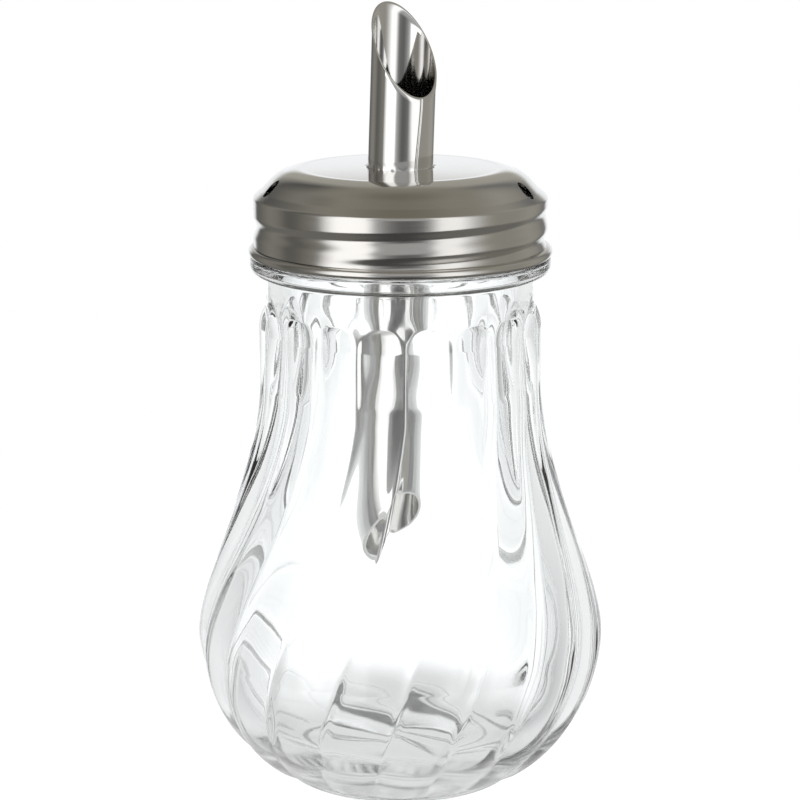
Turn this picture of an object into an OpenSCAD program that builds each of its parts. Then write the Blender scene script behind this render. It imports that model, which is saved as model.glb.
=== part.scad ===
// Sugar dispenser: a glass jar with swirling lobes, a screw cap of pressed steel, a pouring
// tube cut obliquely at both ends and a sealing ring between the rim and the cap.
// Millimetres. The jar stands on z = 0 with its axis on Z, and its front faces -Y.

/* [Jar] */
// Height of the jar from the table to its rim
jar_h = 126.5; // [115:0.5:155]
// Largest radius, over the lobes
belly_r = 44.3; // [40:0.1:53.2]
// Height of the widest place
belly_z = 30.5; // [26:0.5:36]
// Radius of the ring that the jar stands on
foot_r = 24.8; // [20:0.1:28]
// Thickness of the glass behind the lobes
wall = 3.3; // [2.5:0.1:4]
// Thickness of the floor
floor_t = 8; // [6.5:0.1:10]
// Depth of the hollow under the floor
push_up = 3; // [2:0.1:4]

/* [Lobes] */
// Number of lobes round the jar
lobes = 18; // [12:1:24]
// Depth of the valleys between the lobes near the foot
lobe_depth = 1.2; // [0.6:0.1:1.8]
// Depth of the valleys below the arch tops
waist_depth = 0.6; // [0.4:0.1:1.2]
// Turn of the lobes from the upper body down to the foot, in degrees
swirl = 34; // [0:1:60]
// How far the lobes of the upper body stand out from the neck
lobe_out = 1.6; // [1.2:0.1:3]

/* [Neck] */
// Outer radius of the threaded part, which the neck, the mouth and the cap follow
finish_r = 29.5; // [24.5:0.1:35.5]
// Height of the threaded part, from the collar to the rim
finish_h = 12.7; // [11:0.1:15]
// How far the plain neck stands back from the threaded part
neck_in = 0.8; // [0.4:0.1:2]
// How far the collar below the thread stands out from it
collar_out = 2.5; // [2:0.1:4]
// Height of the collar
collar_h = 3.2; // [2.4:0.1:4]
// Radius of the round under the collar
collar_round = 1.8; // [1:0.1:2.2]

/* [Cap] */
// Thickness of the steel sheet
sheet = 0.4; // [0.3:0.05:0.8]
// Gap between the threaded part of the jar and the skirt
skirt_gap = 1.3; // [1:0.05:1.6]
// Height of the crown, from the corner above the skirt to the flat top
crown_h = 6.75; // [5:0.05:8]
// Slope of the crown beside the corner, in degrees
crown_slope = 47; // [40:1:52]
// Radius of the bend between the slope and the flat top
crown_bend = 10; // [5:0.5:13]
// Radius of the bend between the slope and the skirt
corner_bend = 1.5; // [0.8:0.1:3]
// Height of the rolled bead at the lower edge
bead_h = 2.1; // [1.7:0.1:3]
// Length of a vent hole
vent_len = 3.6; // [3:0.1:4.4]
// Width of a vent hole
vent_w = 3.4; // [2:0.1:4]
// Direction of each vent hole, counted from the line between them
vent_side = 71; // [40:1:90]
// Direction of the line between the vent holes, counted from the front to the right
vent_mid = -3.5; // [-30:0.5:30]

/* [Pouring tube] */
// Outer diameter of the tube
tube_d = 14; // [10:0.1:16.8]
// Thickness of the tube wall
tube_wall = 0.4; // [0.3:0.05:0.8]
// Height of the tip of the tube above the cap
spout_h = 34; // [26:0.1:45]
// Depth of the lowest point of the tube below the top of the cap
tube_depth = 88.5; // [70:0.1:107]
// Slope of the two oblique cuts, in degrees
cut_slope = 54; // [30:1:60]
// Direction that both cuts face, counted from the front to the right
cut_dir = 34; // [0:1:90]
// Lean of the tube to the right, in degrees
tube_lean = 1.8; // [0:0.1:3]

/* [Sealing ring] */
// Thickness of the sealing ring
seal_t = 1.4; // [0.8:0.1:2]
// Width of the sealing ring
seal_w = 3.2; // [2.5:0.1:3.5]

/* [Hidden] */

round_fn = 96;
cut_size = 60;
front = -90;

// Heights that the pieces share
collar_top = jar_h - finish_h;
collar_bottom = collar_top - collar_h;
arch_top = collar_bottom - 7;
arch_h = 5.2;
waist_z = arch_top - 16;

// Radii that the pieces share
neck_r = finish_r - neck_in;
waist_r = neck_r + lobe_out;
collar_r = finish_r + collar_out;
mouth_r = neck_r - wall - 0.2;
skirt_in = finish_r + skirt_gap;
skirt_out = skirt_in + sheet;
bead_out = skirt_in + 1.5;

// The cap rests on the sealing ring
seal_play = 0.3;
seal_out = finish_r - 0.6;
corner_z = jar_h + seal_t + seal_play + sheet / cos(crown_slope)
    - (skirt_out - seal_out) * tan(crown_slope);
cap_top = corner_z + crown_h;
flat_r = skirt_out - crown_h / tan(crown_slope);
bend_reach = crown_bend * tan(crown_slope / 2);
bead_bottom = collar_top + 0.4;

// Curves of the jar
function bezier(p, t) =
    pow(1 - t, 3) * p[0] + 3 * pow(1 - t, 2) * t * p[1]
    + 3 * (1 - t) * t * t * p[2] + pow(t, 3) * p[3];
function curve(p, steps, from = 0) = [for (i = [from:steps]) bezier(p, i / steps)];

foot_round = 0.8;
toe = [foot_r + 4.6, 2.6];
tuck = [foot_r + foot_round + 0.1, 1.1];
lower_curve = [toe, [belly_r - 1.2, 12.2], [belly_r, belly_z - 3], [belly_r, belly_z]];
rise = waist_z - belly_z;
upper_curve = [[belly_r, belly_z], [belly_r, belly_z + 0.25 * rise],
               [waist_r, waist_z - 0.39 * rise], [waist_r, waist_z]];

// Arch tops, where the lobes turn in to the plain neck, which the body ends in
neck_skin = neck_r + 0.1;
arch_in = waist_r - neck_r + 0.5;
arch_curve = [for (a = [0:15:90])
    [waist_r - arch_in * (1 - cos(a)), arch_top - arch_h * (1 - sin(a))]];

outline = concat([tuck], curve(lower_curve, 9), curve(upper_curve, 11, 1),
                 [[waist_r, waist_z + 5]], arch_curve, [[neck_r, collar_bottom - 0.3]]);

// A lobe is convex, with a crisp valley on either side, and the valleys swirl below the waist
lobe_steps = 6;
around = lobes * lobe_steps;
valley_dir = front + 2;
function turn(z) = -swirl * pow(max(0, (waist_z - 4 - z) / (waist_z - 4)), 1.15);
function side(i) = abs(2 * (i % lobe_steps) / lobe_steps - 1);
function smooth(t) = let (x = min(1, max(0, t))) x * x * (3 - 2 * x);
function depth(z) = lobe_depth + (waist_depth - lobe_depth) * smooth((z - 12) / (waist_z - 12))
    + (waist_r - neck_r - waist_depth) * smooth((z - waist_z) / (arch_top - arch_h - waist_z));
function lobe_cut(i, z) = z < toe[1] ? 0 : depth(z) * pow(side(i), 2);
function least_r(z) = z > belly_z ? neck_skin : 0;
function jar_point(p, i) =
    let (r = max(least_r(p[1]), p[0] - lobe_cut(i, p[1])),
         a = valley_dir + 360 * i / around + turn(p[1]))
    [r * cos(a), r * sin(a), p[1]];

module lobed_body() {
    rings = len(outline);
    points = [for (p = outline) for (i = [0:around - 1]) jar_point(p, i)];
    sides = [for (k = [0:rings - 2]) for (i = [0:around - 1])
        let (j = (i + 1) % around, a = k * around, b = a + around)
        each [[a + i, b + i, b + j], [a + i, b + j, a + j]]];
    bottom = [for (i = [0:around - 1]) i];
    top = [for (i = [around - 1:-1:0]) (rings - 1) * around + i];
    polyhedron(points = points, faces = concat([bottom], sides, [top]));
}

// Neck, collar and threaded part of the jar, down into the lobed body
module neck_outline() {
    rim = 1.2;
    polygon(concat(
        [[0, waist_z], [neck_r, waist_z], [neck_r, collar_bottom],
         [collar_r - collar_round, collar_bottom + 0.1]],
        [for (a = [-67.5:22.5:0])
            [collar_r - collar_round + collar_round * cos(a),
             collar_bottom + 0.1 + collar_round * (1 + sin(a))]],
        [[collar_r, collar_top - 0.6], [collar_r - 0.5, collar_top], [finish_r, collar_top]],
        [for (a = [0:22.5:90]) [finish_r - rim + rim * cos(a), jar_h - rim + rim * sin(a)]],
        [[0, jar_h]]));
}

// Foot ring, rounded on the outside and hollow under the floor
module foot_outline() {
    polygon(concat(
        [[0, 0]],
        [for (a = [-90:22.5:0])
            [foot_r + foot_round * cos(a), foot_round + foot_round * sin(a)]],
        [[foot_r + foot_round, push_up + 2], [0, push_up + 2]]));
}

// Inside of the jar: a bowl, the shoulder behind the lobes and the mouth
bowl_r = belly_r - lobe_depth - wall - 0.2;
bowl = [[foot_r - 5, floor_t], [foot_r + 6, floor_t], [bowl_r, belly_z - 16],
        [bowl_r, belly_z + 1]];
shoulder = [[bowl_r, belly_z + 1], [bowl_r, belly_z + 0.27 * rise],
            [mouth_r, waist_z - 0.37 * rise], [mouth_r, waist_z + 3]];
module cavity_outline() {
    polygon(concat([[0, floor_t]], curve(bowl, 10), curve(shoulder, 12, 1),
                   [[mouth_r, jar_h + 1], [0, jar_h + 1]]));
}

module glass_jar() {
    hollow_r = (pow(foot_r - 2.4, 2) + pow(push_up, 2)) / (2 * push_up);
    color([0.88, 0.94, 0.95, 0.5])
        difference() {
            union() {
                lobed_body();
                rotate_extrude($fn = round_fn) neck_outline();
                rotate_extrude($fn = round_fn) foot_outline();
            }
            rotate_extrude($fn = round_fn) cavity_outline();
            translate([0, 0, push_up - hollow_r]) sphere(r = hollow_r, $fn = round_fn);
        }
}

// Half of the sheet's outline: out along the top, over both bends, down the skirt and back inside
function bend_line(centre, r, from, to) = [for (i = [0:6])
    let (a = from + (to - from) * i / 6) centre + r * [cos(a), sin(a)]];
function crown_line(inset) = concat(
    bend_line([flat_r - bend_reach, cap_top - crown_bend], crown_bend - inset, 90, 90 - crown_slope),
    bend_line([skirt_out - corner_bend, corner_z - corner_bend * tan(crown_slope / 2)],
              corner_bend - inset, 90 - crown_slope, 0));
module sheet_outline() {
    inside = crown_line(sheet);
    polygon(concat(
        [[0, cap_top]], crown_line(0),
        [[skirt_out, bead_bottom + 1], [skirt_in, bead_bottom + 1]],
        [for (i = [len(inside) - 1:-1:0]) inside[i]], [[0, cap_top - sheet]]));
}

module bead_outline() {
    bead_r = (bead_out - skirt_in) / 2;
    translate([skirt_in, bead_bottom + bead_r]) square([2 * bead_r, bead_h - 2 * bead_r]);
    for (z = [bead_bottom + bead_r, bead_bottom + bead_h - bead_r])
        translate([skirt_in + bead_r, z]) circle(r = bead_r, $fn = 32);
}

// A vent hole is a teardrop with its tip towards the axis, punched along Z
module vent_cut() {
    tip_r = flat_r + 1.3;
    round_r = vent_w / 2;
    translate([0, 0, corner_z - 1])
        linear_extrude(crown_h + 2) {
            translate([tip_r + vent_len - round_r, 0]) circle(r = round_r, $fn = 32);
            polygon([[tip_r, 0], [tip_r + vent_len - round_r, -round_r],
                     [tip_r + vent_len - round_r, round_r]]);
        }
}

// The tube's own frame: its axis passes through the middle of the hole in the cap
module along_tube() translate([0, 0, cap_top]) rotate([0, tube_lean, 0]) children();

tube_fit = 0.05;
module screw_cap() {
    color("silver")
        difference() {
            union() {
                rotate_extrude($fn = round_fn) sheet_outline();
                rotate_extrude($fn = round_fn) bead_outline();
            }
            along_tube()
                cylinder(h = 4, r = tube_d / 2 + tube_fit, center = true, $fn = round_fn);
            for (a = [-vent_side, vent_side]) rotate([0, 0, front + vent_mid + a]) vent_cut();
        }
}

// Block that cuts the tube along a plane that falls in the direction of the cuts
module oblique_cut() {
    rotate([0, 0, front + cut_dir]) rotate([0, cut_slope, 0])
        translate([-cut_size, -cut_size, 0]) cube(2 * cut_size);
}

module pouring_tube() {
    reach = tube_d / 2 * tan(cut_slope);
    swage_r = 0.5;
    swage_drop = sheet + swage_r + tube_fit + (tube_d / 2 + swage_r) * sin(tube_lean);
    color("lightgray")
        along_tube()
            difference() {
                union() {
                    translate([0, 0, -tube_depth])
                        cylinder(h = tube_depth + spout_h, r = tube_d / 2, $fn = round_fn);
                    translate([0, 0, -swage_drop])
                        rotate_extrude($fn = round_fn)
                            translate([tube_d / 2, 0]) circle(r = swage_r, $fn = 24);
                }
                translate([0, 0, -tube_depth - 1])
                    cylinder(h = tube_depth + spout_h + 2, r = tube_d / 2 - tube_wall,
                             $fn = round_fn);
                translate([0, 0, spout_h - reach]) oblique_cut();
                translate([0, 0, reach - tube_depth]) mirror([0, 0, 1]) oblique_cut();
            }
}

module sealing_ring() {
    color([0.2, 0.2, 0.21])
        translate([0, 0, jar_h])
            difference() {
                cylinder(h = seal_t, r = seal_out, $fn = round_fn);
                translate([0, 0, -1])
                    cylinder(h = seal_t + 2, r = seal_out - seal_w, $fn = round_fn);
            }
}

glass_jar();
screw_cap();
pouring_tube();
sealing_ring();
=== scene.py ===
"""Sugar dispenser: the glass jar, the pressed steel cap, the pouring tube and the sealing ring.

Lengths are in millimetres until a mesh is made, and angles in degrees. The jar's axis is Z, its
front faces -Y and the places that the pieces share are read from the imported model's boxes.
"""
import math

import bpy
import numpy as np
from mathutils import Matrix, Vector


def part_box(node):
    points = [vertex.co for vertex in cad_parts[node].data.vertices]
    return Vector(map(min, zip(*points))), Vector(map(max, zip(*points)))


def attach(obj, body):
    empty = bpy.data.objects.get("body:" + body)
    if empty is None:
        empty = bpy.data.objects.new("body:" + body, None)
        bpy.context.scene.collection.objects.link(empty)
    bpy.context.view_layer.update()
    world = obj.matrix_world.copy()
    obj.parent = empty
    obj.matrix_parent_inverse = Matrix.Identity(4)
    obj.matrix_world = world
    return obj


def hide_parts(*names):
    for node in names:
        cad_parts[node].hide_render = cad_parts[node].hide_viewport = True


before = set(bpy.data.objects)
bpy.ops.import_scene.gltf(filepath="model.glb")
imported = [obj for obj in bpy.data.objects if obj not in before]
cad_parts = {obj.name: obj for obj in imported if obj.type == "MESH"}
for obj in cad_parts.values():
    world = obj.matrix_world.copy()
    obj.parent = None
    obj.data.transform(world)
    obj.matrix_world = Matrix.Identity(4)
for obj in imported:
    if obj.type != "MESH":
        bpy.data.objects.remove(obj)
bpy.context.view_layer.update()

MM = 0.001
AROUND = 576


def node_box(node):
    """The lowest and highest corner of a CAD node, in millimetres."""
    low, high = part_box(node)
    return np.array(low) / MM, np.array(high) / MM


_, jar_high = node_box("glass_jar")
cap_low, cap_high = node_box("screw_cap")
seal_low, seal_high = node_box("sealing_ring")

# Driving sizes
BELLY_R, BELLY_Z = jar_high[0], 30.5
WAIST_R = 30.3
FOOT_R, FOOT_ROUND = 24.8, 0.8
NECK_R, MOUTH_R = 28.7, 25.2
COLLAR_R, COLLAR_H, COLLAR_ROUND = 32.0, 3.2, 1.8
FINISH_R, FINISH_H = 29.5, 12.7
WALL, FLOOR_T, PUSH_UP = 3.3, 8.0, 3.0
LOBES, SWIRL = 18, 34.0
WAIST_DEPTH, BELLY_DEPTH = 0.6, 1.2
FRONT = -90.0
VALLEY_DIR = FRONT + 2.0
OUTER_EDGE, INNER_EDGE = 0.94, 0.7
STAR_H, STAR_RAYS, RIB_H = 1.1, 8, 0.85
TOE_Z = 2.6

RIM_Z = jar_high[2]
COLLAR_TOP = RIM_Z - FINISH_H
COLLAR_BOTTOM = COLLAR_TOP - COLLAR_H
NECK_LEN, ARCH_H, ARCH_LEN = 7.0, 5.2, 16.0
ARCH_TOP = COLLAR_BOTTOM - NECK_LEN
WAIST_Z = ARCH_TOP - ARCH_LEN
RISE = WAIST_Z - BELLY_Z

CAP_TOP = cap_high[2]
SHEET = 0.4
SKIRT_R = 31.2
CROWN_H, CROWN_SLOPE, CROWN_BEND = 6.75, 47.0, 10.0
FLARE_R, FLARE_BEND, FLARE_SLOPE, CORNER_BEND = 29.2, 4.0, 39.0, 1.0
BEAD_R, BEAD_LOW, BEAD_H = cap_high[0], cap_low[2], 2.1
VENT_SIDE, VENT_MID, VENT_TIP, VENT_LEN, VENT_W = 70.0, -3.0, 26.4, 3.5, 3.4
# Painted shade on the cap's inside beside the vents: the heights and radii over which it fades in
VENT_SHADE_Z = (126.2, 127.2)
VENT_SHADE_R = (24.0, 25.5)
PITCH = 5.08
GROOVE_TOP, GROOVE_DEPTH = 125.0, 0.75

TUBE_R, TUBE_WALL = 7.0, 0.4
TUBE_LEAN, CUT_SLOPE, CUT_DIR = 1.8, 54.0, FRONT + 34.0
SPOUT_H, TUBE_DEPTH = 33.96, 88.5
LIP_ROUND, SEAM_BEND = 0.09, 8.0


def smooth_step(x):
    """0 below 0, 1 above 1, and a smooth rise between."""
    x = np.clip(x, 0.0, 1.0)
    return x * x * (3.0 - 2.0 * x)


def bezier(points, count):
    """count points along a cubic curve, as rows of radius and height."""
    p = np.array(points, float)
    t = np.linspace(0.0, 1.0, count)[:, None]
    s = 1.0 - t
    return s**3 * p[0] + 3 * s**2 * t * p[1] + 3 * s * t**2 * p[2] + t**3 * p[3]


def arc(centre, radius, start, end, count):
    """count points of radius and height along an arc."""
    a = np.radians(np.linspace(start, end, count))
    return np.stack([centre[0] + radius * np.cos(a), centre[1] + radius * np.sin(a)], 1)


def line(a, b, count):
    """count points from a to b."""
    t = np.linspace(0.0, 1.0, count)[:, None]
    return (1 - t) * np.array(a, float) + t * np.array(b, float)


def chain(*runs):
    """Joins runs of points into one outline and drops the points that repeat."""
    points = np.concatenate(runs)
    step = np.linalg.norm(np.diff(points, axis=0), axis=1)
    return points[np.concatenate([[True], step > 1e-4])]


def make_object(name, points, faces, smooth_angle=None):
    """A mesh object from points in millimetres, smooth apart from edges sharper than the angle."""
    mesh = bpy.data.meshes.new(name)
    mesh.from_pydata((np.array(points) * MM).tolist(), [], faces)
    mesh.validate()
    mesh.update()
    mesh.polygons.foreach_set("use_smooth", [True] * len(mesh.polygons))
    if smooth_angle is not None:
        mesh.set_sharp_from_angle(angle=math.radians(smooth_angle))
    piece = bpy.data.objects.new(name, mesh)
    bpy.context.scene.collection.objects.link(piece)
    return piece


def ring_faces(rings, around, loop=False):
    """Faces between neighbouring rings, and from the last ring to the first if loop."""
    k = np.arange(rings if loop else rings - 1)[:, None]
    i = np.arange(around)[None, :]
    j = (i + 1) % around
    low, high = k * around, ((k + 1) % rings) * around
    quads = np.stack([low + i, low + j, high + j, high + i], -1)
    return quads.reshape(-1, 4).tolist()


def end_fan(points, ring, centre, flip):
    """A centre point for an open end ring, and the faces that join them."""
    points.append(centre)
    n = len(points) - 1
    pairs = zip(ring, ring[1:] + ring[:1])
    return [[n, b, a] if flip else [n, a, b] for a, b in pairs]


# Jar
def lobe_cut(u, edge):
    """Fall of a lobe from its crest, u = 0, to the valley, u = 1. Past the edge it rounds off."""
    inner = u**2
    outer = edge**2 + 2.0 * edge * (u - edge) * (1.0 - 0.5 * (u - edge) / (1.0 - edge))
    return np.where(u < edge, inner, outer)


def depth(z):
    """Depth of the valleys at a height."""
    body = BELLY_DEPTH + (WAIST_DEPTH - BELLY_DEPTH) * smooth_step((z - 12.0) / (WAIST_Z - 12.0))
    arch = smooth_step((z - WAIST_Z) / (ARCH_TOP - ARCH_H - WAIST_Z))
    return body + (WAIST_R - NECK_R - WAIST_DEPTH) * arch


def turn(z):
    """The angle that the valleys have turned by at a height."""
    below = np.maximum(0.0, (WAIST_Z - 4.0 - z) / (WAIST_Z - 4.0))
    return -SWIRL * below**1.15


def soft_max(a, b, width):
    """The larger of two values, with a soft change-over of that width."""
    return 0.5 * (a + b + np.sqrt((a - b) ** 2 + width**2))


def thread_height(angle, z, start, base, turns, above, below):
    """A helical rib, 1 along its middle and 0 beside it, fading out at both ends."""
    total = np.zeros(np.broadcast(angle, z).shape)
    for k in range(-2, 4):
        along = angle / 360.0 + k
        off = z - (base + PITCH * along)
        near = np.clip(np.where(off > 0, off / above, -off / below), 0.0, 1.0)
        rib = 0.5 + 0.5 * np.cos(math.pi * near)
        ends = smooth_step((along - start) * 6.0) * smooth_step((start + turns - along) * 6.0)
        total = np.maximum(total, rib * ends)
    return total


def star(radius, angle):
    """Rise of the sunburst pressed into the hollow under the floor."""
    ray = np.abs(np.cos(np.radians(angle - FRONT) * STAR_RAYS / 2.0))
    ring = smooth_step(radius / 6.0) * smooth_step((FOOT_R - 3.0 - radius) / 7.0)
    return STAR_H * ring * (0.5 - ray**0.7)


def jar_outer():
    """Rings of radius and height on the outside of the jar, from the foot to the rim."""
    hollow_r = FOOT_R - 2.4
    hollow = line([0.6, 0], [hollow_r, 0], 26)
    hollow[:, 1] = PUSH_UP * (1.0 - (hollow[:, 0] / hollow_r) ** 1.3)
    toe = [FOOT_R + 4.6, TOE_Z]
    foot = chain(
        arc([hollow_r + 0.3, 0.3], 0.3, 200, 270, 4), line([hollow_r + 0.3, 0], [FOOT_R, 0], 4),
        arc([FOOT_R, FOOT_ROUND], FOOT_ROUND, -90, 0, 7),
        line([FOOT_R + FOOT_ROUND, 1.0], [FOOT_R + FOOT_ROUND + 0.4, 1.5], 3),
        bezier([[FOOT_R + 1.2, 1.5], [FOOT_R + 2.2, 1.9], [toe[0] - 1.2, 1.9], toe], 8))
    lower = bezier([toe, [BELLY_R - 1.2, 12.2], [BELLY_R, BELLY_Z - 3], [BELLY_R, BELLY_Z]], 44)
    upper = bezier([[BELLY_R, BELLY_Z], [BELLY_R, BELLY_Z + 0.25 * RISE],
                    [WAIST_R, WAIST_Z - 0.39 * RISE], [WAIST_R, WAIST_Z]], 56)
    a = np.radians(np.linspace(0, 90, 26))
    arch_in = WAIST_R - NECK_R + 0.5
    arch = np.stack([WAIST_R - arch_in * (1 - np.cos(a)), ARCH_TOP - ARCH_H * (1 - np.sin(a))], 1)
    round_z = COLLAR_BOTTOM + 0.1 + COLLAR_ROUND
    neck = chain(
        line([NECK_R - 0.5, ARCH_TOP + 0.1], [NECK_R - 0.5, COLLAR_BOTTOM - 0.8], 8),
        arc([NECK_R + 0.6, COLLAR_BOTTOM - 0.5], 0.6, 180, 105, 5),
        arc([COLLAR_R - COLLAR_ROUND, round_z], COLLAR_ROUND, -88, 0, 12),
        arc([COLLAR_R - 0.5, COLLAR_TOP - 0.5], 0.5, 0, 90, 6),
        line([COLLAR_R - 0.6, COLLAR_TOP], [FINISH_R + 0.4, COLLAR_TOP], 4),
        arc([FINISH_R + 0.4, COLLAR_TOP + 0.4], 0.4, 270, 180, 4))
    finish = line([FINISH_R, COLLAR_TOP + 0.6], [FINISH_R, RIM_Z - 1.4], 42)
    return chain(hollow, foot, lower, upper, arch, neck, finish,
                 arc([FINISH_R - 1.2, RIM_Z - 1.2], 1.2, 0, 90, 9))


def jar_inner():
    """Rings on the inside of the jar, from the rim to the middle of the floor."""
    bowl_r = BELLY_R - 1.4 - WALL
    bowl = bezier([[FOOT_R - 5, FLOOR_T], [FOOT_R + 6, FLOOR_T], [bowl_r, BELLY_Z - 16],
                   [bowl_r, BELLY_Z + 1]], 36)
    shoulder = bezier([[bowl_r, BELLY_Z + 1], [bowl_r, BELLY_Z + 0.27 * RISE],
                       [MOUTH_R, WAIST_Z - 0.37 * RISE], [MOUTH_R, WAIST_Z + 3]], 44)
    mouth = line([MOUTH_R, WAIST_Z + 3], [MOUTH_R, RIM_Z - 1.2], 20)
    floor = line([FOOT_R - 5, FLOOR_T], [0.6, FLOOR_T], 12)
    return chain(arc([MOUTH_R + 1.2, RIM_Z - 1.2], 1.2, 90, 180, 9), mouth[::-1],
                 shoulder[::-1], bowl[::-1], floor)


def inner_share(z):
    """How far the inside follows the lobes: less where the tube ends, and not at floor or neck."""
    slack = 0.35 * smooth_step((z - 40.0) / 10.0)
    share = 0.6 - slack + (0.3 + slack) * smooth_step((z - 60.0) / 12.0)
    return share * smooth_step((z - FLOOR_T) / 9.0) * smooth_step((ARCH_TOP + 2.0 - z) / 7.0)


def make_jar():
    outer, inner = jar_outer(), jar_inner()
    step = 360.0 / AROUND
    base = np.arange(AROUND) * step
    u = np.abs(2.0 * ((base * LOBES / 360.0) % 1.0) - 1.0)[None, :]
    r, z = outer[:, :1], outer[:, 1:]
    lobed = smooth_step((z - (TOE_Z - 1.0)) / 1.0) * (z < ARCH_TOP + 0.05) * (r > FOOT_R + 1)
    radius = r - lobed * depth(z) * lobe_cut(u, OUTER_EDGE) / lobe_cut(1.0, OUTER_EDGE)
    upper = (z > BELLY_Z) & (z < COLLAR_BOTTOM - 0.6)
    radius = np.where(upper, soft_max(radius, NECK_R, 0.12), radius)
    angle = VALLEY_DIR + base[None, :] + turn(z)
    rib = thread_height(angle, z, -0.75, COLLAR_TOP + 6.8, 1.3, 1.3, 1.3)
    on_finish = (z > COLLAR_TOP + 0.5) & (z < RIM_Z - 1.3)
    radius = radius + RIB_H * rib * on_finish
    height = z + star(radius, angle)
    outside = np.stack([radius * np.cos(np.radians(angle)), radius * np.sin(np.radians(angle)),
                        height], -1)
    z = inner[:, 1:]
    radius = inner[:, :1] - inner_share(z) * depth(z) * lobe_cut(u, INNER_EDGE)
    angle = np.radians(VALLEY_DIR + base[None, :] + turn(z))
    inside = np.stack([radius * np.cos(angle), radius * np.sin(angle),
                       np.broadcast_to(z, angle.shape)], -1)
    rings = np.concatenate([outside, inside])
    points = rings.reshape(-1, 3).tolist()
    faces = ring_faces(len(rings), AROUND)
    first = list(range(AROUND))
    last = [(len(rings) - 1) * AROUND + i for i in first]
    faces += end_fan(points, first, [0, 0, PUSH_UP], True)
    faces += end_fan(points, last, [0, 0, FLOOR_T], False)
    return make_object("jar", points, faces)


# Cap
def cap_outline():
    """The sheet's outer side from the hole to the skirt's lower edge, without its thread."""
    slope = math.tan(math.radians(CROWN_SLOPE))
    start_r = SKIRT_R - CROWN_H / slope - CROWN_BEND * math.tan(math.radians(CROWN_SLOPE / 2))
    lip_r = TUBE_R + 0.05
    sag = 0.25
    top = line([lip_r + 0.5, 0], [start_r, 0], 26)
    top[:, 1] = CAP_TOP - sag * (top[:, 0] / start_r) ** 2
    crown = arc([start_r, CAP_TOP - CROWN_BEND], CROWN_BEND, 90, 90 - CROWN_SLOPE, 24)
    crown[:, 1] -= sag * np.linspace(1, 0, 24) ** 2
    low = [FLARE_R, CAP_TOP - CROWN_H + (SKIRT_R - FLARE_R) * slope]
    flare = arc(bend_centre(low, -FLARE_BEND, 90 - CROWN_SLOPE), FLARE_BEND,
                270 - CROWN_SLOPE, 270 - FLARE_SLOPE, 12)
    corner = arc([SKIRT_R - CORNER_BEND, 0], CORNER_BEND, 90 - FLARE_SLOPE, 0, 12)
    run = corner[0, 0] - flare[-1, 0]
    corner[:, 1] += flare[-1, 1] - run * math.tan(math.radians(FLARE_SLOPE)) - corner[0, 1]
    return chain(
        line([lip_r, CAP_TOP - 1.0], [lip_r, CAP_TOP - 0.55], 3),
        arc([lip_r + 0.5, CAP_TOP - 0.54], 0.5, 180, 95, 7), top, crown,
        line(crown[-1], flare[0], 8), flare, line(flare[-1], corner[0], 4), corner,
        line(corner[-1], [SKIRT_R, BEAD_LOW + BEAD_H + 0.1], 90))


def bend_centre(point, radius, direction):
    """The centre of a bend through a point, with its normal there in that direction."""
    a = math.radians(direction)
    return [point[0] - radius * math.cos(a), point[1] - radius * math.sin(a)]


def offset_inward(outline, distance):
    """The outline moved to its inner side by a distance."""
    along = np.gradient(outline, axis=0)
    along /= np.linalg.norm(along, axis=1)[:, None]
    return outline - distance * np.stack([-along[:, 1], along[:, 0]], 1)


def groove(angle, z):
    """Depth of the thread rolled into the skirt."""
    return GROOVE_DEPTH * thread_height(angle, z, -0.37, 118.1, 1.46, 2.3, 2.6)


def bead_section():
    """The rolled bead, from the skirt's outside round to its inside."""
    r = BEAD_H / 2
    centre = [BEAD_R - r, BEAD_LOW + r]
    inner_r = SKIRT_R - SHEET
    return chain(
        arc(centre, r, 118, -60, 22),
        arc([inner_r + 0.5, BEAD_LOW + 0.55], 0.5, 290, 180, 8))


def make_cap():
    outline = cap_outline()
    inner = offset_inward(outline, SHEET)
    around = 432
    angle = (np.arange(around) * 360.0 / around)[None, :]

    def swept(rows):
        r = np.broadcast_to(rows[:, :1], (len(rows), around)).copy()
        z = np.broadcast_to(rows[:, 1:], (len(rows), around)).copy()
        on_skirt = (z < GROOVE_TOP) & (z > BEAD_LOW + BEAD_H - 0.1)
        r -= np.where(on_skirt, groove(angle, z), 0.0)
        a = np.radians(angle)
        return np.stack([r * np.cos(a), r * np.sin(a), z], -1)

    bead = bead_section()
    rings = np.concatenate([swept(outline), swept(bead), swept(inner[::-1])])
    faces = ring_faces(len(rings), around, loop=True)
    cap = make_object("cap", rings.reshape(-1, 3), [f[::-1] for f in faces])
    is_outside = np.arange(len(rings)) < len(outline) + len(bead) - 1
    outside = cap.data.attributes.new("outside", "FLOAT", "FACE")
    outside.data.foreach_set("value", np.repeat(is_outside, around).astype(float))
    for side in (-VENT_SIDE, VENT_SIDE):
        punch(cap, vent_cutter(FRONT + VENT_MID + side))
    cap.data.polygons.foreach_set("use_smooth", [True] * len(cap.data.polygons))
    cap.data.set_sharp_from_angle(angle=math.radians(38))
    return cap


def vent_cutter(direction):
    """A teardrop prism with its tip towards the axis."""
    round_r = VENT_W / 2
    middle = VENT_TIP + VENT_LEN - round_r
    side = math.degrees(math.acos(round_r / (VENT_LEN - round_r)))
    rim = arc([middle, 0], round_r, -180 + side, 180 - side, 24)
    outline = np.concatenate([[[VENT_TIP, 0]], rim])
    a = math.radians(direction)
    points = []
    for z in (GROOVE_TOP, CAP_TOP + 2.0):
        points += [[x * math.cos(a) - y * math.sin(a), x * math.sin(a) + y * math.cos(a), z]
                   for x, y in outline]
    n = len(outline)
    faces = [list(range(n))[::-1], list(range(n, 2 * n))]
    faces += [[i, (i + 1) % n, n + (i + 1) % n, n + i] for i in range(n)]
    return make_object("vent_cutter", points, faces)


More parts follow.
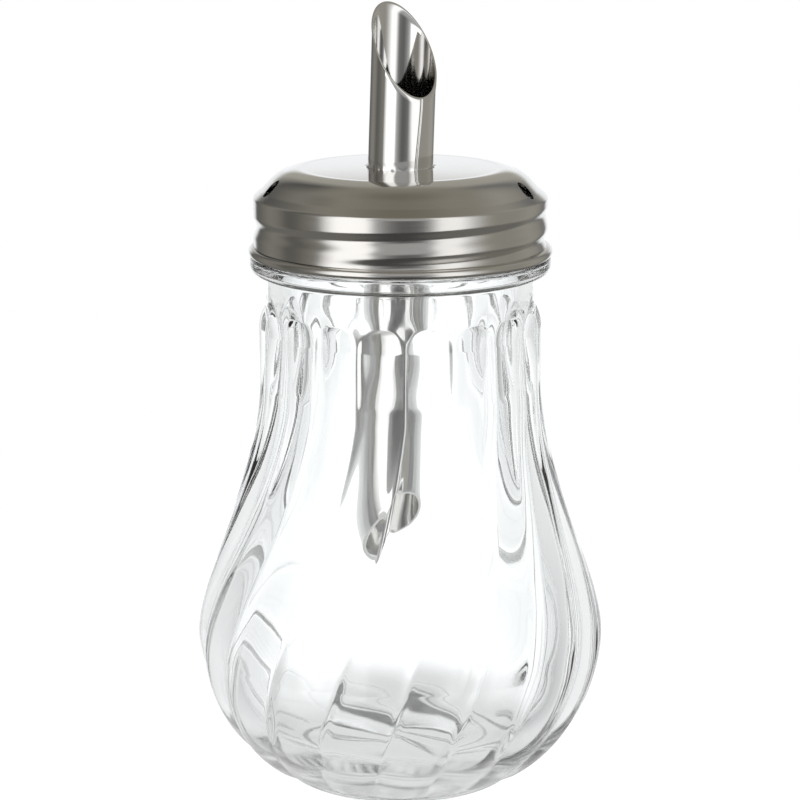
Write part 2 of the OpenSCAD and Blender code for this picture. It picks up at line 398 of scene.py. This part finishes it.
def punch(piece, cutter):
    """Cuts the cutter out of the piece and deletes the cutter."""
    cut = piece.modifiers.new("cut", "BOOLEAN")
    cut.operation = "DIFFERENCE"
    cut.solver = "EXACT"
    cut.object = cutter
    bpy.context.view_layer.update()
    shape = piece.evaluated_get(bpy.context.evaluated_depsgraph_get())
    mesh = bpy.data.meshes.new_from_object(shape)
    piece.modifiers.clear()
    old = piece.data
    piece.data = mesh
    bpy.data.meshes.remove(old)
    bpy.data.objects.remove(cutter)


# Tube
def make_tube():
    """The pouring tube, with both ends cut along a slope, a weld seam and a swage under the cap."""
    around, along = 360, 90
    angle = np.arange(around) * 360.0 / around
    fall = TUBE_R * math.tan(math.radians(CUT_SLOPE))
    away = np.cos(np.radians(angle - CUT_DIR))

    def wall(radius, flip):
        top = SPOUT_H - fall - fall * away * radius / TUBE_R
        low = -TUBE_DEPTH + fall + fall * away * radius / TUBE_R
        z = low + (top - low) * np.linspace(0.0, 1.0, along)[:, None]
        swage = 0.45 * np.exp(-(((z + 1.2) / 0.45) ** 2))
        seam = CUT_DIR - SEAM_BEND * smooth_step((16.0 - z) / 18.0)
        off_seam = np.abs((angle[None, :] - seam + 180) % 360 - 180)
        ridge = 0.2 * np.exp(-off_seam / 9.0) - 0.18 * np.exp(-((off_seam / 1.4) ** 2))
        r = radius + swage + ridge
        a = np.radians(angle)[None, :]
        rings = np.stack([r * np.cos(a), r * np.sin(a), z], -1)
        return rings[::-1] if flip else rings

    outer, inner = wall(TUBE_R, False), wall(TUBE_R - TUBE_WALL, True)

    def lip(a, b):
        """Rounds the cut edge between the last ring of one wall and the first of the other."""
        middle = 0.5 * (a + b)
        up = middle - 0.5 * (outer[along // 2] + inner[along // 2])
        up = np.sign(up[:, 2:]) * np.array([[0.0, 0.0, LIP_ROUND]])
        return np.stack([a * 0.8 + b * 0.2 + 0.7 * up, middle + up, a * 0.2 + b * 0.8 + 0.7 * up])

    rings = np.concatenate([outer, lip(outer[-1], inner[0]), inner, lip(inner[-1], outer[0])])
    lean = math.radians(TUBE_LEAN)
    x, y, z = rings[..., 0], rings[..., 1], rings[..., 2]
    rings = np.stack([x * math.cos(lean) + z * math.sin(lean), y,
                      CAP_TOP - x * math.sin(lean) + z * math.cos(lean)], -1)
    return make_object("tube", rings.reshape(-1, 3), ring_faces(len(rings), around, loop=True),
                       smooth_angle=50)


# Sealing ring
def make_seal():
    outer_r = seal_high[0]
    low, high = seal_low[2], seal_high[2]
    width, soft = 3.2, 0.25
    corners = [(outer_r - soft, low + soft, -90), (outer_r - soft, high - soft, 0),
               (outer_r - width + soft, high - soft, 90), (outer_r - width + soft, low + soft, 180)]
    outline = chain(*[arc([r, z], soft, a, a + 90, 6) for r, z, a in corners])
    around = 192
    a = np.radians(np.arange(around) * 360.0 / around)[None, :]
    rings = np.stack([outline[:, :1] * np.cos(a), outline[:, :1] * np.sin(a),
                      np.broadcast_to(outline[:, 1:], (len(outline), around))], -1)
    return make_object("seal", rings.reshape(-1, 3), ring_faces(len(rings), around, loop=True))


# Node helpers
class Nodes:
    """Short calls for building a node tree."""

    def __init__(self, tree):
        self.tree = tree
        tree.nodes.clear()

    def add(self, kind, **settings):
        node = self.tree.nodes.new(kind)
        for key, value in settings.items():
            setattr(node, key, value)
        return node

    def link(self, source, target):
        self.tree.links.new(source, target)

    def fill(self, socket, value):
        if hasattr(value, "links"):
            self.link(value, socket)
        else:
            socket.default_value = value

    def math(self, operation, *values, clamp=False):
        node = self.add("ShaderNodeMath", operation=operation, use_clamp=clamp)
        for socket, value in zip(node.inputs, values):
            self.fill(socket, value)
        return node.outputs[0]

    def split(self, vector):
        """The three parts of a vector."""
        node = self.add("ShaderNodeSeparateXYZ")
        self.link(vector, node.inputs[0])
        return node.outputs

    def length(self, x, y):
        """The length of a flat vector."""
        return self.math("SQRT", self.math("ADD", self.math("MULTIPLY", x, x),
                                           self.math("MULTIPLY", y, y)))

    def smooth(self, value, low, high, first=0.0, last=1.0):
        """value between low and high, mapped smoothly to first and last."""
        node = self.add("ShaderNodeMapRange", interpolation_type="SMOOTHSTEP")
        for socket, v in zip(node.inputs, (value, low, high, first, last)):
            self.fill(socket, v)
        return node.outputs[0]

    def mix(self, factor, a, b):
        node = self.add("ShaderNodeMix", data_type="RGBA")
        self.fill(node.inputs[0], factor)
        self.fill(node.inputs[6], a)
        self.fill(node.inputs[7], b)
        return node.outputs[2]

    def ramp(self, factor, stops):
        """A run of colours along a factor, from places and colours."""
        node = self.add("ShaderNodeValToRGB")
        self.fill(node.inputs[0], factor)
        for k, (place, colour) in enumerate(stops):
            band = node.color_ramp.elements
            stop = band[k] if k < 2 else band.new(place)
            stop.position = place
            stop.color = (*colour, 1.0)
        return node.outputs[0]

    def noise(self, vector, scale, detail=2.0, roughness=0.5):
        node = self.add("ShaderNodeTexNoise")
        self.link(vector, node.inputs["Vector"])
        node.inputs["Scale"].default_value = scale
        node.inputs["Detail"].default_value = detail
        node.inputs["Roughness"].default_value = roughness
        return node.outputs["Fac"]

    def bump(self, height, strength, distance):
        node = self.add("ShaderNodeBump")
        node.inputs["Strength"].default_value = strength
        node.inputs["Distance"].default_value = distance
        self.link(height, node.inputs["Height"])
        return node.outputs["Normal"]


def new_material(name):
    """A material, its node calls, a Principled node and its output."""
    material = bpy.data.materials.new(name)
    material.use_nodes = True
    n = Nodes(material.node_tree)
    shader = n.add("ShaderNodeBsdfPrincipled")
    output = n.add("ShaderNodeOutputMaterial")
    n.link(shader.outputs[0], output.inputs["Surface"])
    return material, n, shader, output


def turned_grain(n, across, along):
    """Noise drawn out round the Z axis, as polishing on a lathe leaves it."""
    place = n.add("ShaderNodeTexCoord").outputs["Object"]
    x, y, z = n.split(place)
    angle = n.math("ARCTAN2", y, x)
    joined = n.add("ShaderNodeCombineXYZ")
    n.link(n.math("MULTIPLY", n.length(x, y), across), joined.inputs[0])
    n.link(n.math("MULTIPLY", angle, along), joined.inputs[1])
    n.link(n.math("MULTIPLY", z, across), joined.inputs[2])
    return joined.outputs[0], place


def cap_material():
    """Satin polished steel with turned lines and faint clouding, and painted shade: the inside is
    painted near black next to the vents.
    """
    material, n, shader, _ = new_material("satin_steel")
    grain_place, place = turned_grain(n, 9000.0, 3.0)
    grain = n.noise(grain_place, 1.0, 3.0, 0.6)
    cloud = n.noise(place, 60.0, 2.0)
    shader.inputs["Metallic"].default_value = 1.0
    tone = n.mix(cloud, (0.60, 0.585, 0.56, 1), (0.68, 0.665, 0.64, 1))
    x, y, z = n.split(place)
    outside = n.add("ShaderNodeAttribute", attribute_name="outside").outputs["Fac"]
    # Painted shade: inside faces beside the vents get a near black colour, so the vents look dark
    painted_vent_shade = n.math("MULTIPLY", n.smooth(n.length(x, y), *[r * MM for r in VENT_SHADE_R]),
                          n.smooth(z, *[h * MM for h in VENT_SHADE_Z]))
    inner = n.math("MULTIPLY", n.math("SUBTRACT", 1.0, outside), painted_vent_shade)
    n.link(n.mix(inner, tone, (0.05, 0.05, 0.048, 1)), shader.inputs["Base Color"])
    rough = n.math("ADD", n.smooth(grain, 0.3, 0.7, 0.0, 0.05),
                   n.smooth(cloud, 0.3, 0.7, 0.12, 0.16))
    on_top = n.smooth(z, 0.1318, 0.1326)
    rough = n.math("ADD", n.math("MULTIPLY", on_top, -0.08), rough)
    n.link(rough, shader.inputs["Roughness"])
    n.link(n.bump(grain, 0.06, 0.00005), shader.inputs["Normal"])
    return material


def tube_material():
    """Mirror polished steel, with faint lines along the tube."""
    material, n, shader, _ = new_material("bright_steel")
    place = n.add("ShaderNodeTexCoord").outputs["Object"]
    stretch = n.add("ShaderNodeMapping")
    n.link(place, stretch.inputs["Vector"])
    stretch.inputs["Scale"].default_value = (2500.0, 2500.0, 40.0)
    grain = n.noise(stretch.outputs[0], 1.0, 3.0, 0.6)
    cloud = n.noise(place, 90.0, 2.0)
    shader.inputs["Metallic"].default_value = 1.0
    tone = n.mix(cloud, (0.74, 0.735, 0.72, 1), (0.80, 0.795, 0.78, 1))
    n.link(tone, shader.inputs["Base Color"])
    n.link(n.smooth(grain, 0.3, 0.7, 0.05, 0.11), shader.inputs["Roughness"])
    n.link(n.bump(grain, 0.04, 0.00004), shader.inputs["Normal"])
    return material


def glass_material():
    """Clear pressed glass that lets lamp light through, wavy, duller at its base, stippled foot."""
    material, n, shader, output = new_material("clear_glass")
    place = n.add("ShaderNodeTexCoord").outputs["Object"]
    wave = n.noise(place, 120.0, 1.0)
    shader.inputs["Base Color"].default_value = (0.985, 0.995, 0.995, 1)
    shader.inputs["Transmission Weight"].default_value = 1.0
    shader.inputs["IOR"].default_value = 1.5
    z = n.split(place)[2]
    n.link(n.smooth(z, 0.0085, 0.0125, 0.16, 0.0), shader.inputs["Roughness"])
    stipple = n.add("ShaderNodeTexVoronoi")
    n.link(place, stipple.inputs["Vector"])
    stipple.inputs["Scale"].default_value = 900.0
    at_foot = n.math("MULTIPLY", n.smooth(z, 0.0016, 0.0026, 0.35, 0.0),
                     stipple.outputs["Distance"])
    n.link(n.bump(n.math("ADD", wave, at_foot), 0.09, 0.0004), shader.inputs["Normal"])
    clear = n.add("ShaderNodeBsdfTransparent")
    clear.inputs["Color"].default_value = (0.9, 0.92, 0.92, 1)
    both = n.add("ShaderNodeMixShader")
    path = n.add("ShaderNodeLightPath")
    n.link(path.outputs["Is Shadow Ray"], both.inputs[0])
    n.link(shader.outputs[0], both.inputs[1])
    n.link(clear.outputs[0], both.inputs[2])
    n.link(both.outputs[0], output.inputs["Surface"])
    return material


def seal_material():
    """Soft dark grey sealing compound."""
    material, n, shader, _ = new_material("seal_compound")
    place = n.add("ShaderNodeTexCoord").outputs["Object"]
    speck = n.noise(place, 1500.0, 3.0)
    tone = n.mix(speck, (0.16, 0.16, 0.16, 1), (0.2, 0.2, 0.2, 1))
    n.link(tone, shader.inputs["Base Color"])
    n.link(n.smooth(speck, 0.3, 0.7, 0.5, 0.7), shader.inputs["Roughness"])
    n.link(n.bump(speck, 0.2, 0.0001), shader.inputs["Normal"])
    return material


# Studio
# The room seen in the steel: azimuth from the camera's side to the right, brightness and warmth
ROOM = [(-180, 0.45, 1), (-166, 0.45, 1), (-152, 0.10, 0), (-138, 0.18, 1), (-122, 0.27, 1),
        (-110, 0.24, 1), (-98, 0.13, 1), (-88, 0.15, 1), (-78, 0.21, 1), (-67, 0.24, 1),
        (-61, 0.9, 0), (-52, 1.55, 0), (-26, 1.55, 0), (-19, 0.5, 0), (-9, 0.24, 0), (0, 0.13, 0),
        (10, 0.14, 0), (18, 0.2, 0), (24, 0.55, 0), (31, 1.3, 0), (47, 1.35, 0), (60, 0.7, 0),
        (70, 0.42, 1), (78, 0.33, 1), (100, 0.34, 1), (122, 0.40, 1), (136, 0.34, 1), (150, 0.18, 0),
        (162, 0.45, 1), (180, 0.45, 1)]

# The room seen through the glass on the far side: azimuth from the camera's side and brightness
FAR_SIDE = [(80, 0.5), (87, 0.28), (92, 0.25), (99, 0.38), (110, 0.6), (124, 0.78), (140, 0.9),
            (155, 0.97), (164, 1.06), (172, 1.16)]


def make_world():
    """The studio: white for the camera, soft boxes and a dim room for steel, paler for glass."""
    world = bpy.data.worlds.new("studio")
    bpy.context.scene.world = world
    world.use_nodes = True
    n = Nodes(world.node_tree)
    x, y, z = n.split(n.add("ShaderNodeTexCoord").outputs["Generated"])
    to_degrees = 180.0 / math.pi
    azimuth = n.math("MULTIPLY", n.math("ARCTAN2", x, n.math("MULTIPLY", y, -1.0)), to_degrees)
    height = n.math("MULTIPLY", n.math("ARCTAN2", z, n.length(x, y)), to_degrees)
    aside = n.math("ABSOLUTE", azimuth)

    room = n.ramp(n.math("DIVIDE", n.math("ADD", azimuth, 180.0), 360.0),
                  [((az + 180) / 360, (v, v * (1 - 0.03 * warm), v * (1 - 0.13 * warm)))
                   for az, v, warm in ROOM])
    above = n.math("MULTIPLY", n.smooth(height, -8, 12), n.smooth(aside, 16, 30, 1.0, 0.0))
    room = n.mix(above, room, (0.45, 0.45, 0.45, 1))
    room = n.mix(n.smooth(height, 42, 62), room, (0.30, 0.285, 0.245, 1))
    room = n.mix(n.smooth(height, 62, 88), room, (0.21, 0.195, 0.155, 1))
    dark = n.mix(n.smooth(aside, 10, 60), (0.07, 0.07, 0.07, 1), (0.19, 0.185, 0.17, 1))
    room = n.mix(n.smooth(height, -34, -22, 1.0, 0.0), room, dark)

    behind = n.math("MULTIPLY", n.smooth(aside, 150, 160), n.smooth(height, 8, 15, 1.0, 0.0))
    behind = n.math("MULTIPLY", behind, n.smooth(height, -34, -22))
    mirrored = n.mix(behind, room, (1.08, 1.1, 1.13, 1))

    through = n.ramp(n.math("DIVIDE", aside, 180.0),
                     [(a / 180, (v * 0.99, v * 0.997, v * 1.005)) for a, v in FAR_SIDE])
    steep = n.math("ADD", n.smooth(height, -34, -24, 1.0, 0.0), n.smooth(height, 2, 14))
    front = n.mix(steep, room, (0.8, 0.8, 0.79, 1))
    through = n.mix(n.smooth(aside, 74, 86), front, through)
    through = n.mix(n.smooth(height, 6, 20), through, (0.905, 0.905, 0.9, 1))
    through = n.mix(n.smooth(height, -75, -50, 1.0, 0.0), through, (0.9, 0.9, 0.9, 1))

    path = n.add("ShaderNodeLightPath")
    light = n.mix(path.outputs["Is Transmission Ray"], mirrored, through)
    light = n.mix(path.outputs["Is Diffuse Ray"], light, (0.8, 0.8, 0.8, 1))
    light = n.mix(path.outputs["Is Camera Ray"], light, (1, 1, 1, 1))
    background = n.add("ShaderNodeBackground")
    n.link(light, background.inputs["Color"])
    output = n.add("ShaderNodeOutputWorld")
    n.link(background.outputs[0], output.inputs["Surface"])


def make_floor():
    """A pale floor with the object's shadow for the camera, and a painted shadow for the glass: a
    grey glowing disc under the jar.
    """
    reach, around = 240.0, 96
    points = [[0, 0, -0.02]]
    points += [[reach * math.cos(2 * math.pi * i / around),
                reach * math.sin(2 * math.pi * i / around), -0.02] for i in range(around)]
    faces = [[0, i + 1, (i + 1) % around + 1] for i in range(around)]
    floor = make_object("floor", points, faces)
    material = bpy.data.materials.new("floor_paper")
    material.use_nodes = True
    n = Nodes(material.node_tree)
    place = n.add("ShaderNodeTexCoord").outputs["Object"]
    grain = n.noise(place, 40.0, 2.0)
    paper = n.add("ShaderNodeBsdfDiffuse")
    n.link(n.mix(grain, (0.28, 0.28, 0.28, 1), (0.3, 0.3, 0.3, 1)), paper.inputs["Color"])
    path = n.add("ShaderNodeLightPath")
    glow = n.add("ShaderNodeEmission")
    glow.inputs["Strength"].default_value = 0.78
    both = n.add("ShaderNodeAddShader")
    n.link(paper.outputs[0], both.inputs[0])
    n.link(glow.outputs[0], both.inputs[1])
    x, y, _ = n.split(place)
    # Painted shadow: rays other than camera rays see a grey glowing disc under the jar, and see
    # through the floor further out
    painted_shadow_disc = n.add("ShaderNodeMixShader")
    shade = n.add("ShaderNodeEmission")
    shade.inputs["Strength"].default_value = 0.74
    n.link(n.smooth(n.length(x, y), 0.027, 0.054, 1.0, 0.0), painted_shadow_disc.inputs[0])
    n.link(n.add("ShaderNodeBsdfTransparent").outputs[0], painted_shadow_disc.inputs[1])
    n.link(shade.outputs[0], painted_shadow_disc.inputs[2])
    pick = n.add("ShaderNodeMixShader")
    n.link(path.outputs["Is Camera Ray"], pick.inputs[0])
    n.link(painted_shadow_disc.outputs[0], pick.inputs[1])
    n.link(both.outputs[0], pick.inputs[2])
    output = n.add("ShaderNodeOutputMaterial")
    n.link(pick.outputs[0], output.inputs["Surface"])
    floor.data.materials.append(material)


def make_lamp(name, place, aim, size, watts):
    """A soft square lamp that lights the floor and stays out of the mirrors."""
    lamp = bpy.data.lights.new(name, "AREA")
    lamp.shape = "SQUARE"
    lamp.size = size
    lamp.energy = watts
    holder = bpy.data.objects.new(name, lamp)
    bpy.context.scene.collection.objects.link(holder)
    holder.location = place
    aim_at(holder, aim)
    holder.visible_camera = False
    holder.visible_glossy = False
    holder.visible_transmission = False


def aim_at(holder, target):
    """Turns a lamp or camera so that it looks at a point."""
    offset = np.array(target, float) - np.array(holder.location)
    flat = math.hypot(offset[0], offset[1])
    tilt = math.atan2(offset[2], flat) + math.pi / 2
    holder.rotation_euler = (tilt, 0.0, math.atan2(-offset[0], offset[1]))


def make_camera():
    """The photograph's viewpoint: in front, a little above, with a long lens."""
    distance, height, pitch = 0.555, 0.212, 13.15
    image_px, focal_px = 800, 2644.0
    camera = bpy.data.cameras.new("camera")
    camera.sensor_width = 36.0
    camera.lens = camera.sensor_width * focal_px / image_px
    camera.clip_start = 0.01
    camera.clip_end = 20.0
    holder = bpy.data.objects.new("camera", camera)
    bpy.context.scene.collection.objects.link(holder)
    holder.location = (-0.0001, -distance, height)
    holder.rotation_euler = (math.radians(90.0 - pitch), 0.0, 0.0)
    bpy.context.scene.camera = holder


make_camera()
make_world()
make_floor()
make_lamp("key_lamp", (-0.7, -0.5, 1.1), (0, 0, 0.06), 0.8, 9.0)
make_lamp("fill_lamp", (0.8, -0.4, 0.9), (0, 0, 0.06), 0.8, 7.0)

pieces = [
    (make_jar(), glass_material(), "glass_jar", "jar", "jar_glass"),
    (make_cap(), cap_material(), "screw_cap", "lid", "cap_steel"),
    (make_tube(), tube_material(), "pouring_tube", "lid", "tube_steel"),
    (make_seal(), seal_material(), "sealing_ring", "seal", "seal_rubber"),
]
for piece, material, node, body, slot in pieces:
    piece.data.materials.clear()
    piece.data.materials.append(material)
    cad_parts[node].data.materials.clear()
    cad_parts[node].data.materials.append(material)
    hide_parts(node)
    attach(piece, body)

scene = bpy.context.scene
scene.view_settings.view_transform = "Standard"
scene.cycles.max_bounces = 24
scene.cycles.glossy_bounces = 12
scene.cycles.transmission_bounces = 24
